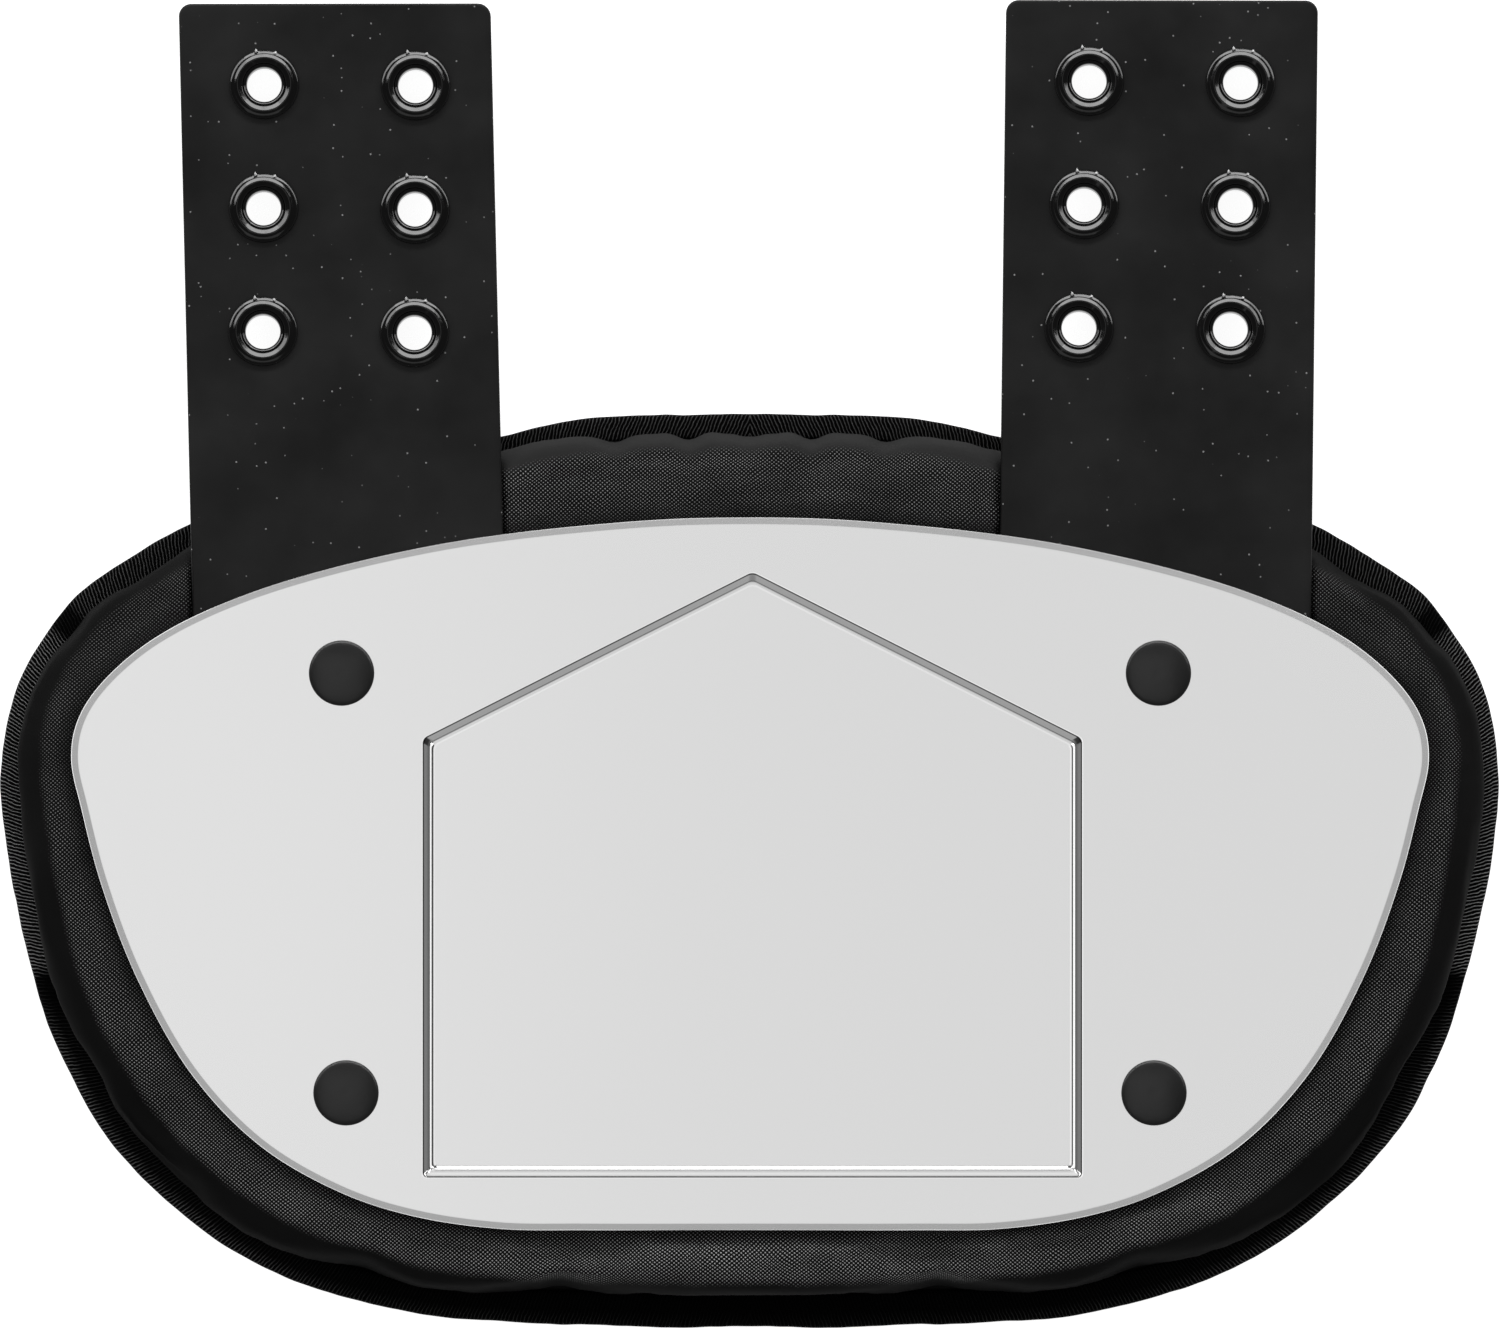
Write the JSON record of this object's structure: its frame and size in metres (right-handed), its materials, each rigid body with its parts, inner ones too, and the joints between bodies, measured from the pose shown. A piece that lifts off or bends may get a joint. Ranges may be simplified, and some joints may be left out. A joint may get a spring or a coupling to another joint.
{
  "type": "football back plate",
  "caption": "Padded football back plate: polished hard plate with a sunk pentagonal panel, riveted over a bound foam pad, with eyeleted vinyl straps above.",
  "frame": {"origin": "middle of the footprint, on the plane that the pad's rear lies on", "axes": "+Z out of the plate's face, +Y towards the free ends of the straps, +X across the back, to the right as seen from the plate's side"},
  "size_m": [0.3052, 0.2702, 0.0202],
  "materials": {
    "plate_chrome": "polished, metallised moulded plate",
    "cover_fabric": "plain-woven black polyester",
    "binding_tape": "ribbed black grosgrain tape",
    "strap_vinyl": "smooth black vinyl with a soft sheen",
    "eyelet_enamel": "glossy black enamel",
    "rivet_cap": "smooth black satin"
  },
  "bodies": {
    "root": {"plate": "plate_chrome", "pad": "cover_fabric", "edge_binding": "binding_tape", "strap_left": "strap_vinyl", "strap_right": "strap_vinyl", "eyelet_left_1": "eyelet_enamel", "eyelet_left_2": "eyelet_enamel", "eyelet_left_3": "eyelet_enamel", "eyelet_left_4": "eyelet_enamel", "eyelet_left_5": "eyelet_enamel", "eyelet_left_6": "eyelet_enamel", "eyelet_right_1": "eyelet_enamel", "eyelet_right_2": "eyelet_enamel", "eyelet_right_3": "eyelet_enamel", "eyelet_right_4": "eyelet_enamel", "eyelet_right_5": "eyelet_enamel", "eyelet_right_6": "eyelet_enamel", "rivet_upper_left": "rivet_cap", "rivet_upper_right": "rivet_cap", "rivet_lower_left": "rivet_cap", "rivet_lower_right": "rivet_cap"}
  },
  "joints": []
}
